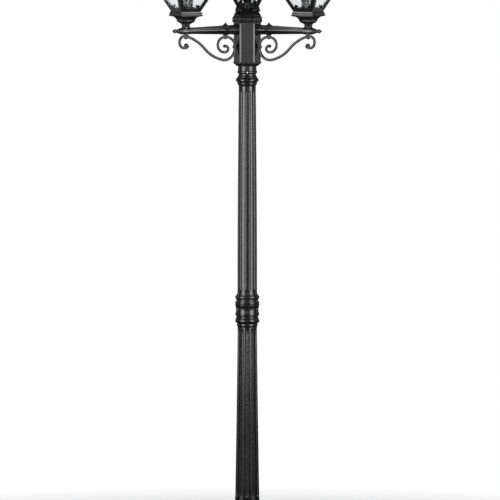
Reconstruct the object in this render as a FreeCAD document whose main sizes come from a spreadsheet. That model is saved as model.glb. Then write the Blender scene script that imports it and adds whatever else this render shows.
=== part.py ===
"""Three-lantern garden lamp post: a fluted post in two lengths, a hexagonal hub and
three arms with scroll brackets, each arm carrying a square lantern with a hinged roof.

World frame: +Z up, origin on the ground at the centre of the base. Millimetres.
One arm points straight back (+Y); the other two point forward, left and right.
An arm's own frame has +X outward along the arm and its origin on the post axis at arm
height. A lantern's own frame is the arm's, moved out to the lantern's axis.
"""

import FreeCAD, Part
import math
import os

import Sketcher
from FreeCAD import Placement, Rotation, Vector

SIZES = (
    ("base_radius", 125, "foot ring, outside"),
    ("base_bore", 78, "foot ring, inside"),
    ("base_height", 205, "ground to the top of the base casting"),
    ("foot_thickness", 14, "foot ring"),
    ("anchor_circle", 108, "radius of the circle of anchor holes"),
    ("anchor_hole", 6, "radius of an anchor hole"),
    ("lower_joint", 870, "top of the lower shaft"),
    ("sleeve_length", 56, "coupling sleeve between the two shafts"),
    ("upper_joint", 1718.5, "top shoulder of the upper shaft"),
    ("post_foot", 43, "lower shaft radius at its foot"),
    ("post_middle", 34, "lower shaft radius at the coupling"),
    ("post_top", 29.8, "upper shaft radius at its top"),
    ("spigot", 24, "radius of the spigots and of the joining tube"),
    ("foot_spigot", 36, "radius of the lower shaft's foot spigot"),
    ("fit", 0.05, "radial clearance of a sliding fit"),
    ("flute_depth", 3.1, "depth of a flute"),
    ("flute_width", 10.6, "width of a flute"),
    ("hub_bottom", 1748, "underside of the hub's bevel"),
    ("hub_top", 1900.5, "top of the hub body"),
    ("hub_corner", 49, "hub corner radius before the corners are cut"),
    ("hub_cut", 3.6, "leg of the cut at each hub corner"),
    ("hub_bevel", 9.5, "height of the bevel under the hub"),
    ("hub_wall", 6, "hub wall thickness"),
    ("arm_height", 1876, "arm axis above the ground"),
    ("arm_reach", 245.5, "post axis to lantern axis"),
    ("arm_root", 16.5, "arm half height at the hub"),
    ("arm_end", 10.6, "arm half height at the lantern"),
    ("arm_bore", 6.3, "radius of the wire way in an arm"),
    ("s_bar", 4.8, "radius of the long scroll's bar"),
    ("c_bar", 4.7, "radius of the short scroll's bar"),
    ("clip_reach", 87.5, "post axis to the short scroll's clamp"),
    ("inner_seat", 28, "arm axis to the inner bracket screw's seat"),
    ("outer_seat", 24.5, "arm axis to the outer bracket screw's seat"),
    ("cup_height", 68, "arm axis to the top of the lantern cup"),
    ("cage_height", 125, "height of the glazed cage"),
    ("cage_foot", 38, "half side of the cage at its foot"),
    ("cage_head", 100, "half side of the cage at its head"),
    ("cage_wall", 6, "thickness of the cage's bars"),
    ("bar_width", 11, "width of a corner bar on each face"),
    ("sill", 13, "height of the cage below its windows"),
    ("head_rail", 10, "height of the cage above its windows"),
    ("glass", 3.5, "thickness of a pane"),
    ("roof_height", 80, "height of the lantern roof"),
    ("roof_half", 107, "half side of the roof's eave"),
    ("hinge_out", 108, "lantern axis to the roof hinge's axis"),
    ("screw_out", 114, "lantern axis to the thumbscrew's axis"),
)
ARMS = (("left", 210), ("right", 330), ("rear", 90))
HEX_FLAT = math.cos(math.radians(30))  # apothem over corner radius of a hexagon
# Each scroll's first point and heading, then its arcs as (radius, turn).
S_START, S_HEADING = (50.5, -60.6), -96.4
S_SCROLL = ((40, 107.6), (132.8, 36.1), (-160.6, 31.3), (-21.3, 129.3), (-20, 95), (-6.5, 60))
S_BALL = (243.9, -51.2)  # centre of the ball that the long scroll ends round
C_START, C_HEADING = (50.5, -59.4), 99
C_SCROLL = ((-27, 53), (-39, 76), (-25, 71), (-27, 91), (-11, 108), (-10.5, 80))

doc = FreeCAD.newDocument("lamp_post")
dims = doc.addObject("Spreadsheet::Sheet", "dims")
for row, (alias, value, note) in enumerate(SIZES, 1):
    dims.set(f"A{row}", alias)
    dims.set(f"B{row}", str(value))
    dims.set(f"C{row}", note)
    dims.setAlias(f"B{row}", alias)
doc.recompute()
nodes = []


class Size:
    """A length worked out from the sheet: its value, and the expression that binds it."""

    def __init__(self, value, text=None):
        self.value = float(value)
        self.text = text or f"{self.value:.6f}"
        self.bound = text is not None

    def joined(self, other, sign, value):
        other = as_size(other)
        text = f"({self.text} {sign} {other.text})"
        return Size(value(self.value, other.value), text)

    def __add__(self, other):
        return self.joined(other, "+", lambda a, b: a + b)

    def __sub__(self, other):
        return self.joined(other, "-", lambda a, b: a - b)

    def __mul__(self, other):
        return self.joined(other, "*", lambda a, b: a * b)

    def __truediv__(self, other):
        return self.joined(other, "/", lambda a, b: a / b)

    def __neg__(self):
        return self * -1


def as_size(number):
    return number if isinstance(number, Size) else Size(number)


def size(alias):
    """The sheet's cell of that name, bound."""
    return Size(dims.get(alias), "dims." + alias)


def bind(thing, name, number):
    """Gives a property its value, and its expression where it comes from the sheet."""
    if not isinstance(number, Size):
        setattr(thing, name, number)
    elif number.bound:
        thing.setExpression(name, number.text)
    else:
        setattr(thing, name, number.value)


def place(thing, x=0, y=0, z=0, turn=None):
    """Puts a thing at x, y, z, bound, turned by a rotation."""
    spots = [as_size(number) for number in (x, y, z)]
    turn = turn or Rotation()
    thing.Placement = Placement(Vector(*(spot.value for spot in spots)), turn)
    for axis, spot in zip("xyz", spots):
        if spot.bound:
            thing.setExpression(f"Placement.Base.{axis}", spot.text)
    return thing


def about_z(angle):
    return Rotation(Vector(0, 0, 1), angle)


ALONG_X = Rotation(Vector(0, 1, 0), 90)  # turns +Z to +X
UPRIGHT = Rotation(Vector(1, 0, 0), 90)  # a sketch's up becomes +Z


def primitive(kind, name, at=(0, 0, 0), turn=None, **values):
    """A Part primitive with bound sizes."""
    thing = doc.addObject("Part::" + kind, name)
    for key, number in values.items():
        bind(thing, key, number)
    return place(thing, *at, turn=turn)


def cylinder(name, radius, length, at=(0, 0, 0), turn=None):
    return primitive("Cylinder", name, at, turn, Radius=radius, Height=length)


def box(name, low, spans):
    length, width, height = spans
    return primitive("Box", name, low, None, Length=length, Width=width, Height=height)


def joined(name, parts, kind="MultiFuse"):
    """The parts fused (MultiFuse), intersected (MultiCommon) or grouped (Compound)."""
    thing = doc.addObject("Part::" + kind, name)
    if kind == "Compound":
        thing.Links = parts
    else:
        thing.Shapes = parts
    return thing


def cut(name, base, tools):
    """The base with every tool taken away."""
    thing = doc.addObject("Part::Cut", name)
    thing.Base = base
    thing.Tool = tools[0] if len(tools) == 1 else joined(name + "_tools", tools)
    return thing


def ring(count, first, make):
    """Makes one thing at each of count equal angles."""
    return [make(number, first + number * 360 / count) for number in range(count)]


def radial(name, radius, inner, outer, height, angle):
    """A cylinder that points away from the post axis."""
    turn = about_z(angle) * ALONG_X
    way = math.radians(angle)
    at = (inner * math.cos(way), inner * math.sin(way), height)
    return cylinder(name, radius, as_size(outer) - inner, at, turn)


def end_at(sketch, edge, point):
    """Which end of an edge lies at a point: 1 for its start, 2 for its end."""
    near = (sketch.getPoint(edge, 1) - point).Length < 1e-6
    return 1 if near else 2


def pin_point(sketch, edge, end, point):
    """Pins an edge's end to its bound distances from the sketch's origin."""
    for kind, axis, number in (("DistanceX", -2, point[0]), ("DistanceY", -1, point[1])):
        number = as_size(number)
        if abs(number.value) < 1e-9:
            sketch.addConstraint(Sketcher.Constraint("PointOnObject", edge, end, axis))
            continue
        spot = Sketcher.Constraint(kind, -1, 1, edge, end, number.value)
        index = sketch.addConstraint(spot)
        if number.bound:
            sketch.setExpression(f"Constraints[{index}]", number.text)


def draw_outline(sketch, points):
    """A closed outline. A point is (across, up) or (across, up, rise): with a rise, the
    edge that ends there is an arc that bulges by that much to the right of its way."""
    spots = [Vector(as_size(p[0]).value, as_size(p[1]).value, 0) for p in points]
    edges = []
    for number, point in enumerate(points):
        start, end = spots[number - 1], spots[number]
        if len(point) == 3:
            way = (end - start).normalize()
            middle = (start + end) / 2 + Vector(way.y, -way.x, 0) * point[2]
            edges.append(sketch.addGeometry(Part.Arc(start, middle, end), False))
        else:
            edges.append(sketch.addGeometry(Part.LineSegment(start, end), False))
    for number, point in enumerate(points):
        edge, following = edges[number], edges[(number + 1) % len(points)]
        end = end_at(sketch, edge, spots[number])
        start = end_at(sketch, following, spots[number])
        meet = Sketcher.Constraint("Coincident", edge, end, following, start)
        sketch.addConstraint(meet)
        pin_point(sketch, edge, end, point)
        if len(point) == 3:
            before = points[number - 1]
            across = as_size(point[0]) - as_size(before[0])
            upward = as_size(point[1]) - as_size(before[1])
            rise = abs(point[2])
            radius = (across * across + upward * upward) / (8 * rise) + rise / 2
            bulge = Sketcher.Constraint("Radius", edge, radius.value)
            index = sketch.addConstraint(bulge)
            sketch.setExpression(f"Constraints[{index}]", radius.text)
    return sketch


def plane_of(body, role):
    return next(f for f in body.Origin.OriginFeatures if f.Role == role)


def body_sketch(body, name, role="XZ_Plane"):
    """An empty sketch on one of the body's own origin planes."""
    sketch = body.newObject("Sketcher::SketchObject", name)
    sketch.AttachmentSupport = [(plane_of(body, role), "")]
    sketch.MapMode = "FlatFace"
    return sketch


def turned(name, outline):
    """A body turned about Z from an outline of (radius, height)."""
    body = doc.addObject("PartDesign::Body", name)
    sketch = draw_outline(body_sketch(body, name + "_outline"), outline)
    turn = body.newObject("PartDesign::Revolution", name + "_turn")
    turn.Profile = sketch
    turn.ReferenceAxis = (sketch, ["V_Axis"])
    turn.Angle = 360
    return body


def free_sketch(name, turn):
    sketch = doc.addObject("Sketcher::SketchObject", name)
    return place(sketch, turn=turn)


def prismatic(name, outline, sides):
    """A square or hexagonal moulding. Its outline of (half width, height) runs from the
    axis at the bottom round to the axis at the top; it is mirrored and pushed along every
    pair of faces, and the common part keeps the mitred corners."""
    full = list(outline[1:])
    for point, before in zip(outline[:1:-1], outline[-2:0:-1]):
        full.append((-as_size(before[0]), before[1], *point[2:]))
    reach = 2.6 * max(as_size(p[0]).value for p in outline)
    slabs = []
    for number in range(sides // 2):
        start = 30 if sides == 6 else 0
        turn = about_z(start + number * 360 / sides) * UPRIGHT
        sketch = draw_outline(free_sketch(f"{name}_outline_{number}", turn), full)
        slab = doc.addObject("Part::Extrusion", f"{name}_slab_{number}")
        slab.Base = sketch
        slab.DirMode = "Normal"
        slab.LengthFwd = reach
        slab.Symmetric = True
        slab.Solid = True
        slabs.append(slab)
    return joined(name, slabs, "MultiCommon")


def frustum(name, low, high, bottom, top):
    """A square frustum of two half sides, between two heights."""
    sizes = dict(Xmin=-low, Xmax=low, Zmin=-low, Zmax=low)
    upper = dict(X2min=-high, X2max=high, Z2min=-high, Z2max=high)
    return primitive("Wedge", name, turn=UPRIGHT, Ymin=bottom, Ymax=top, **sizes, **upper)


def hexagon(name, corner, at, turn=None):
    return primitive("RegularPolygon", name, at, turn, Polygon=6, Circumradius=corner)


def loft(name, sections):
    thing = doc.addObject("Part::Loft", name)
    thing.Sections = sections
    thing.Solid = True
    thing.Ruled = True
    return thing


def swept_bar(name, radius, start, heading, steps):
    """A round bar along a flat path in XZ of tangent pieces: (length,) is straight, and
    (radius, turn) is an arc, to the left of its way where the radius is positive."""
    path = free_sketch(name + "_path", UPRIGHT)
    spot, way = Vector(*start, 0), math.radians(heading)
    for number, step in enumerate(steps):
        begin = spot
        if len(step) == 1:
            length = as_size(step[0])
            spot = begin + Vector(math.cos(way), math.sin(way), 0) * length.value
            edge = path.addGeometry(Part.LineSegment(begin, spot), False)
            index = path.addConstraint(Sketcher.Constraint("Distance", edge, length.value))
            if length.bound:
                path.setExpression(f"Constraints[{index}]", length.text)
        else:
            bend, turn = step
            centre = begin + Vector(-math.sin(way), math.cos(way), 0) * bend
            ends = []
            for share in (0.5, 1):
                angle = way + math.copysign(math.radians(turn) * share, bend)
                ends.append(centre + Vector(math.sin(angle), -math.cos(angle), 0) * bend)
            middle, spot = ends
            way = angle
            edge = path.addGeometry(Part.Arc(begin, middle, spot), False)
            path.addConstraint(Sketcher.Constraint("Radius", edge, abs(bend)))
        here = end_at(path, edge, begin)
        if number:
            meet = Sketcher.Constraint("Coincident", edge, here, edge - 1, last_end)
            path.addConstraint(meet)
        last_end = 3 - here
    turn = Rotation(Vector(0, 1, 0), 90 - heading)
    circle = primitive("Circle", name + "_section", (start[0], 0, start[1]), turn, Radius=radius)
    bar = doc.addObject("Part::Sweep", name)
    bar.Sections = [circle]
    bar.Spine = (path, [f"Edge{number + 1}" for number in range(len(steps))])
    bar.Solid = True
    return bar, spot


def finish(thing, label, x=0, y=0, z=0, turn=None):
    """Names a sub-part and puts it in its place."""
    thing.Label = label
    place(thing, x, y, z, turn)
    nodes.append(thing)
    return thing


def on_arm(thing, label, angle, out=0):
    """Finishes a sub-part that was made in an arm's frame, or in a lantern's."""
    way = math.radians(angle)
    x, y = as_size(out) * math.cos(way), as_size(out) * math.sin(way)
    return finish(thing, label, x, y, size("arm_height"), about_z(angle))


def fluted(body, foot_radius, top_radius, bottom, top, swell):
    """Cuts twelve round-ended flutes along a shaft. The cutter is a spindle beside the
    shaft, and swells in the middle as the shaft does, so that the depth stays even."""
    half = size("flute_width") / 2
    depth = size("flute_depth")
    cutter = (half * half + depth * depth) / (depth * 2)
    low, high = foot_radius - depth, top_radius - depth
    points = (
        (high + cutter, top),
        (high, top - cutter, -(1 - math.sqrt(0.5)) * cutter.value),
        (low, bottom + cutter, -swell) if swell else (low, bottom + cutter),
        (low + cutter, bottom, -(1 - math.sqrt(0.5)) * cutter.value),
    )
    sketch = body_sketch(body, body.Name + "_flute")
    spots = [Vector(p[0].value, as_size(p[1]).value, 0) for p in points]
    edges = []
    for number, end in enumerate(spots):
        start = spots[number - 1]
        if number and len(points[number]) == 3:
            way = (end - start).normalize()
            middle = (start + end) / 2 + Vector(way.y, -way.x, 0) * -points[number][2]
            edges.append(sketch.addGeometry(Part.Arc(start, middle, end), False))
        else:
            edges.append(sketch.addGeometry(Part.LineSegment(start, end), False))
    for number, spot in enumerate(spots):
        edge, following = edges[number], edges[(number + 1) % 4]
        end, start = end_at(sketch, edge, spot), end_at(sketch, following, spot)
        meet = Sketcher.Constraint("Coincident", edge, end, following, start)
        sketch.addConstraint(meet)
        pin_point(sketch, edge, end, points[number])
    sketch.addGeometry(Part.LineSegment(spots[3], spots[0]), True)
    groove = body.newObject("PartDesign::Groove", body.Name + "_flute_cut")
    groove.Profile = sketch
    groove.ReferenceAxis = (sketch, ["Axis0"])
    groove.Angle = 360
    return around(body, groove, 12)


def around(body, feature, count):
    """Repeats a feature round the body's own Z axis."""
    pattern = body.newObject("PartDesign::PolarPattern", feature.Name + "_ring")
    pattern.Originals = [feature]
    pattern.Axis = (plane_of(body, "Z_Axis"), [""])
    pattern.Angle = 360
    pattern.Occurrences = count
    body.Tip = pattern
    return body


# ---------------------------------------------------------------- the post


def base_casting():
    """Open bell-shaped casting on a foot ring with four anchor holes."""
    foot, bore = size("base_radius"), size("base_bore")
    deck, top = size("foot_thickness"), size("base_height")
    neck = size("foot_spigot") + size("fit")
    body = turned("base_body", (
        (bore, 0), (foot, 0), (foot, deck - 4), (foot - 4, deck), (94, deck),
        (94, deck + 10, 4), (86, deck + 13), (60, deck + 96, -13), (60, deck + 100),
        (60, deck + 112, 5), (53, deck + 117), (49, deck + 155, -3.5), (49, deck + 158),
        (49, deck + 170, 5), (47, deck + 174), (47, top),
        (neck, top), (neck, top - 42), (44, top - 50), (51, deck + 100), (76, deck + 14, 12),
        (bore, deck + 6),
    ))
    sketch = body_sketch(body, "anchor_hole_outline", "XY_Plane")
    reach = size("anchor_circle")
    centre = Vector(reach.value, 0, 0)
    circle = Part.Circle(centre, Vector(0, 0, 1), size("anchor_hole").value)
    sketch.addGeometry(circle, False)
    pin_point(sketch, 0, 3, (reach, 0))
    index = sketch.addConstraint(Sketcher.Constraint("Radius", 0, circle.Radius))
    sketch.setExpression(f"Constraints[{index}]", "dims.anchor_hole")
    hole = body.newObject("PartDesign::Pocket", "anchor_hole")
    hole.Profile = sketch
    hole.Type = 1  # through all
    hole.Reversed = True
    around(body, hole, 4)
    web = joined("web", [box("web_bar", (-60, -8, 106), (120, 16, 4)),
                         cylinder("web_reach", 54, 20, (0, 0, 98))], "MultiCommon")
    finish(joined("base_with_web", [body, web]), "base_casting")


def terminal_block():
    """Wire terminal on the web across the base casting."""
    block = box("terminal_box", (8, -14, 110), (24, 28, 20))
    mouths = [cylinder(f"terminal_mouth_{n}", 1.6, 12, (8 - 1, n * 7, 120), ALONG_X)
              for n in (-1, 0, 1)]
    screws = [cylinder(f"terminal_screw_{n}", 2.2, 4, (24, n * 7, 127)) for n in (-1, 0, 1)]
    finish(cut("terminal_cut", block, mouths + screws), "terminal_block")


def lower_shaft():
    """Fluted lower length, with a foot spigot, a socket for the joining tube and a ring."""
    top, foot = size("lower_joint"), size("base_height")
    socket = size("spigot") + size("fit")
    middle = size("post_middle")
    body = turned("lower_body", (
        (31, foot - 40), (size("foot_spigot"), foot - 40), (size("foot_spigot"), foot),
        (size("post_foot"), foot), (middle, top - 37, -0.5), (middle + 1.8, top - 33, -0.5),
        (middle + 1.8, top - 27, 0.9), (middle + 1.2, top - 25), (middle + 3.2, top - 22.5),
        (middle + 5.2, top - 7.5, 4.4), (middle + 4.6, top - 6.5),
        (middle + 5.8, top - 3.5, 0.9), (middle + 3.4, top - 1.6), (middle + 3.4, top),
        (socket, top), (socket, top - 75), (27, top - 82),
    ))
    shoulder = foot + 30
    fluted(body, size("post_foot") - 0.3, middle - 0.15, shoulder, top - 39, -0.4)
    finish(body, "lower_shaft")


def coupling():
    """Ringed sleeve between the shafts, the tube inside all three, and its set screws."""
    low = size("lower_joint")
    high = low + size("sleeve_length")
    bore = size("spigot") + size("fit")
    core = size("post_middle")
    sleeve = turned("sleeve_body", (
        (bore, low), (core + 3.4, low), (core + 3.4, low + 1.6), (core + 7.6, low + 7.5, 1.6),
        (core + 7.8, low + 11, 0.4), (core + 7.4, high - 19, -2.4), (core + 8.2, high - 16.5),
        (core + 8.2, high - 13.5, 0.9), (core + 6.8, high - 12.2), (core + 6.8, high - 11.4),
        (core + 8, high - 10), (core + 8, high - 6.5, 0.9), (core + 3.8, high - 1.6, 1.4),
        (core + 3.8, high), (bore, high),
    ))
    level = low + size("sleeve_length") / 2
    holes = ring(3, 90, lambda n, a: radial(f"sleeve_hole_{n}", 3.05, 20, 45, level, a))
    finish(cut("sleeve_cut", sleeve, holes), "coupling_sleeve")
    tube = turned("tube_body", (
        (size("spigot") - 3, low - 72), (size("spigot"), low - 72),
        (size("spigot"), high + 72), (size("spigot") - 3, high + 72)))
    finish(tube, "joining_tube")
    screws = ring(3, 90, lambda n, a: socket_screw(
        f"sleeve_screw_{n}", size("spigot"), core + 4.7, level, a))
    finish(joined("sleeve_screws", screws, "Compound"), "coupling_screws")


def socket_screw(name, inner, outer, height, angle):
    """Headless set screw with a hexagonal socket in its outer end."""
    shank = radial(name + "_shank", 3, inner, outer, height, angle)
    turn = about_z(angle) * ALONG_X
    way = math.radians(angle)
    depth = outer - 3
    at = (depth * math.cos(way), depth * math.sin(way), height)
    key = primitive("Prism", name + "_key", at, turn, Polygon=6, Circumradius=1.7, Height=4)
    return cut(name, shank, [key])


def upper_shaft():
    """Fluted upper length, with a ring at its foot and a ringed capital below its spigot."""
    low, top = size("lower_joint") + size("sleeve_length"), size("upper_joint")
    spigot = size("spigot")
    socket = spigot + size("fit")
    core, head = size("post_middle"), size("post_top")
    middle = core + 0.2
    body = turned("upper_body", (
        (socket, low), (core + 3.8, low), (core + 3.8, low + 1.6), (core + 4.8, low + 4, 0.6),
        (core + 4.4, low + 5), (core + 5.2, low + 6), (core + 4.6, low + 18.5, 3.6),
        (core + 3.2, low + 20.5),
        (middle, low + 34, -1.2), (head, top - 56, 1.1), (head + 0.1, top - 43),
        (32.4, top - 35.5, -0.7), (34, top - 34), (34, top - 29.5, 0.9), (33.4, top - 27.5),
        (36, top - 26), (36, top - 12.5, 4.2), (33.8, top - 10), (33.6, top - 7, 0.4),
        (30.4, top - 1.5, -0.5), (30.4, top), (spigot, top), (spigot, top + 58),
        (20, top + 58), (20, low + 82), (socket, low + 75),
    ))
    fluted(body, middle - 0.1, head + 0.05, low + 38, top - 56, 1.0)
    finish(body, "upper_shaft", turn=about_z(18))


# ---------------------------------------------------------------- the hub


def hub_socket():
    """Ringed socket that sits on the post, clamped by three set screws."""
    low, high = size("upper_joint"), size("hub_bottom")
    bore = size("spigot") + size("fit")
    body = turned("socket_body", (
        (bore, low), (30.4, low), (30.4, low + 1.2), (32.2, low + 3.5, -0.5),
        (33.9, low + 5), (33.9, low + 12, 1), (32.6, low + 13.5), (32.3, low + 16),
        (32.3, high), (bore, high)))
    level = low + 8.5
    holes = ring(3, 270, lambda n, a: radial(f"socket_hole_{n}", 3.05, 20, 40, level, a))
    finish(cut("socket_cut", body, holes), "hub_socket")
    screws = ring(3, 270, lambda n, a: socket_screw(
        f"hub_screw_{n}", size("spigot"), 35.6, level, a))
    finish(joined("hub_screw_set", screws, "Compound"), "hub_screws")


def hub_body():
    """Hexagonal hub with cut corners, a foot lip and a bevel, open at its top."""
    low, top, corner = size("hub_bottom"), size("hub_top"), size("hub_corner")
    lip = low + size("hub_bevel")
    prism = primitive("Prism", "hub_prism", (0, 0, lip), Polygon=6, Circumradius=corner,
                      Height=top - lip)
    doc.recompute()
    chamfer = doc.addObject("Part::Chamfer", "hub_chamfer")
    chamfer.Base = prism
    upright = [
        number for number, edge in enumerate(prism.Shape.Edges, 1)
        if abs(edge.tangentAt(edge.FirstParameter).z) > 0.9
    ]
    leg = size("hub_cut").value
    chamfer.Edges = [(number, leg, leg) for number in upright]
    rim = loft("hub_rim", [hexagon("rim_low", corner - 0.5, (0, 0, lip)),
                           hexagon("rim_mid", corner + 0.6, (0, 0, lip + 3)),
                           hexagon("rim_high", corner - 2.5, (0, 0, lip + 7))])
    bevel = loft("hub_underside", [hexagon("bevel_low", 38, (0, 0, low)),
                                   hexagon("bevel_mid", 40, (0, 0, low + 3)),
                                   hexagon("bevel_high", corner - 0.5, (0, 0, lip))])
    crown = loft("hub_crown", [hexagon("crown_low", corner - 2, (0, 0, top - 8)),
                               hexagon("crown_high", corner - 0.5, (0, 0, top))])
    solid = joined("hub_solid", [chamfer, rim, bevel, crown])
    inside = corner - size("hub_wall") / HEX_FLAT
    room = primitive("Prism", "hub_room", (0, 0, lip + 8), Polygon=6, Circumradius=inside,
                     Height=top - lip)
    post_hole = cylinder("hub_post_hole", size("spigot") + size("fit"), 60, (0, 0, low - 10))
    arm_holes = [radial(f"hub_arm_hole_{name}", 8.05, 20, 60, size("arm_height"), angle)
                 for name, angle in ARMS]
    finish(cut("hub_cut", solid, [room, post_hole] + arm_holes), "hub_body")
    wall = (corner * HEX_FLAT - size("hub_wall")).value
    nuts = []
    for name, angle in ARMS:
        way = math.radians(angle)
        spot = (wall - 7) * math.cos(way), (wall - 7) * math.sin(way), size("arm_height")
        turn = about_z(angle) * ALONG_X
        nut = primitive("Prism", f"nut_{name}", spot, turn, Polygon=6, Circumradius=13,
                        Height=7)
        hole = radial(f"nut_hole_{name}", 8, 10, 50, size("arm_height"), angle)
        nuts.append(cut(f"arm_nut_{name}", nut, [hole]))
    finish(joined("arm_nut_set", nuts, "Compound"), "arm_nuts")
    strap = box("bridge_bar", (-inside, -7, top - 9), (inside * 2, 14, 3.5))
    shaped = joined("bridge_shape", [strap, primitive(
        "Prism", "bridge_room", (0, 0, top - 20), Polygon=6, Circumradius=inside,
        Height=20)], "MultiCommon")
    hole = cylinder("bridge_hole", 4, 20, (0, 0, top - 20))
    finish(cut("bridge_cut", shaped, [hole]), "hub_bridge")


def hub_roof():
    """Hexagonal roof with a moulded fascia, and the turned finial that holds it down."""
    low = size("hub_top")
    flat = HEX_FLAT
    outer = prismatic("roof_outer", (
        (0, low), (50.5 * flat, low), (52.8 * flat, low + 2.5), (53.4 * flat, low + 6, 0.5),
        (51.6 * flat, low + 7.6), (51.6 * flat, low + 9), (52.6 * flat, low + 10.5),
        (51.2 * flat, low + 19, 0.6), (49 * flat, low + 20.5), (48 * flat, low + 23),
        (33.5 * flat, low + 41, 2.2), (18.5 * flat, low + 49.5, -1.2), (17 * flat, low + 50.5),
        (0, low + 50.5)), 6)
    room = frustum_hex("roof_room", 43, 22, low, low + 40)
    hole = cylinder("roof_hole", 4.05, 60, (0, 0, low))
    finish(cut("hub_roof_cut", outer, [room, hole]), "hub_roof")
    base = low + 50.5
    finish(turned("finial_body", (
        (0, low - 12), (4, low - 12), (4, base), (14, base), (14.4, base + 1.5),
        (11.4, base + 6), (11.4, base + 6.4), (8.2, base + 8), (8.2, base + 12.5, 1.8),
        (7.6, base + 14), (9.6, base + 20, -0.8), (21.5, base + 44, 2.6),
        (23, base + 46), (23, base + 51, 1.6), (20.5, base + 53), (6, base + 72, 3.4),
        (4.6, base + 74), (4.6, base + 76), (0.8, base + 84, 2.6), (0, base + 84))), "hub_finial")


def frustum_hex(name, low, high, bottom, top):
    return loft(name, [hexagon(name + "_low", low, (0, 0, bottom)),
                       hexagon(name + "_high", high, (0, 0, top))])


# ---------------------------------------------------------------- an arm


FLAT_TOPPED = Rotation(Vector(1, 0, 0), 90) * ALONG_X  # hexagon across an arm


def across_arm(name, half_height, out):
    return hexagon(name, as_size(half_height) / HEX_FLAT, (out, 0, 0), FLAT_TOPPED)


def arm(name, angle):
    """Tapered hexagonal arm, its tip finial, clip and scroll bracket."""
    face = size("hub_corner") * HEX_FLAT
    reach = size("arm_reach")
    root, end = size("arm_root"), size("arm_end")
    blank = loft(f"arm_{name}_blank", [
        across_arm(f"arm_{name}_0", root + 3, face), across_arm(f"arm_{name}_1", root, face + 13),
        across_arm(f"arm_{name}_2", end, reach - 10)])
    boss = turned(f"arm_{name}_boss", (
        (0, reach - 22), (10, reach - 22), (11.6, reach - 18, 0.5), (11.6, reach + 17),
        (10.4, reach + 19), (10.4, reach + 23, 0.6), (8.6, reach + 25), (7.4, reach + 31, 0.6),
        (6, reach + 33.5), (0, reach + 33.5)))
    place(boss, turn=ALONG_X)
    spigot = cylinder(f"arm_{name}_spigot", 8, 16, (face - 16, 0, 0), ALONG_X)
    outer = joined(f"arm_{name}_outer", [blank, boss, spigot])
    wire_way = cylinder(f"arm_{name}_way", size("arm_bore") - 1, reach, (10, 0, 0), ALONG_X)
    end_room = cylinder(f"arm_{name}_room", size("arm_bore"), 66, (reach - 58, 0, 0), ALONG_X)
    stem_hole = cylinder(f"arm_{name}_stem", 5, 30, (reach, 0, 0))
    tip_hole = cylinder(f"arm_{name}_tip", 3, 60, (reach, 0, 0), ALONG_X)
    screw_holes = [cylinder(f"arm_{name}_screw_{n}", 3, 30, (out, 0, -30))
                   for n, out in enumerate((size("clip_reach"), reach))]
    tools = [wire_way, end_room, stem_hole, tip_hole] + screw_holes
    on_arm(cut(f"arm_{name}_cut", outer, tools), f"arm_{name}", angle)

    tip = turned(f"tip_{name}_body", (
        (0, reach + 20), (3, reach + 20), (3, reach + 33.5), (5.6, reach + 33.5),
        (6.2, reach + 35.5, 0.5), (4, reach + 38), (4.4, reach + 38.6), (7.4, reach + 43.6, 0.8),
        (6.2, reach + 47, 0.5), (0.7, reach + 55, -0.5), (0, reach + 55)))
    finish(tip, f"arm_finial_{name}", z=size("arm_height"), turn=about_z(angle) * ALONG_X)

    clip_out = size("clip_reach")
    band = loft(f"clip_{name}_band", [
        across_arm(f"clip_{name}_0", root + 0.2, clip_out - 7),
        across_arm(f"clip_{name}_1", root + 1.4, clip_out - 4.5),
        across_arm(f"clip_{name}_2", root + 1.2, clip_out + 4.5),
        across_arm(f"clip_{name}_3", root - 0.2, clip_out + 7)])
    spike = primitive("Cone", f"clip_{name}_spike", (clip_out, 0, root - 2), Radius1=9.5,
                      Radius2=0.7, Height=12)
    clip = joined(f"clip_{name}_blank", [band, spike])
    clear = joined(f"clip_{name}_clear", [blank, cylinder(
        f"clip_{name}_hole", 8.05, 30, (clip_out, 0, -34))])
    on_arm(cut(f"clip_{name}_cut", clip, [clear]), f"arm_clip_{name}", angle)
    bracket(name, angle, outer)


def bracket(name, angle, outer):
    """Long S scroll and short C scroll in one casting, held by two screws from below."""
    s_scroll, _ = swept_bar(f"s_{name}", size("s_bar"), S_START, S_HEADING, S_SCROLL)
    c_scroll, c_end = swept_bar(f"c_{name}", size("c_bar"), C_START, C_HEADING, C_SCROLL)
    pieces = [s_scroll, c_scroll]
    for number, (out, up, radius) in enumerate(((*S_BALL, 8.2), (c_end.x, c_end.y, 6))):
        pieces.append(primitive("Sphere", f"ball_{name}_{number}", (out, 0, up),
                                Radius=radius))
    pieces.append(turned_at(f"bead_{name}", (
        (0, -8), (5.2, -8), (5.6, -5), (8.2, 0, 1), (5.6, 5, 1), (5.2, 8), (0, 8)),
        (50.3, 0, -59.8)))
    holes, heads = [], []
    for number, (out, seat) in enumerate(bracket_seats()):
        pieces.append(turned_at(f"saddle_{name}_{number}", (
            (0, -seat), (5, -seat), (6.6, -seat + 2, 0.6), (7, -seat + 8.5), (8, -seat + 11, 0.6),
            (8, -6), (0, -6)), (out, 0, 0)))
        holes.append(cylinder(f"bracket_{name}_hole_{number}", 3, seat, (out, 0, -seat - 8)))
        heads.append(cylinder(f"bracket_{name}_seat_{number}", 6.1, 12, (out, 0, -seat - 12)))
    blank = joined(f"bracket_{name}_blank", pieces)
    hub_room = box(f"bracket_{name}_hub", (-20, -40, -120),
                   (size("hub_corner") * HEX_FLAT + 20, 80, 240))
    shaped = cut(f"bracket_{name}_cut", blank, [hub_room, outer] + holes + heads)
    on_arm(shaped, f"scroll_bracket_{name}", angle)


def bracket_seats():
    """Where the two screws of a bracket stand: out along the arm, and down to the seat."""
    return ((size("clip_reach"), size("inner_seat")), (size("arm_reach"), size("outer_seat")))


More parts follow.
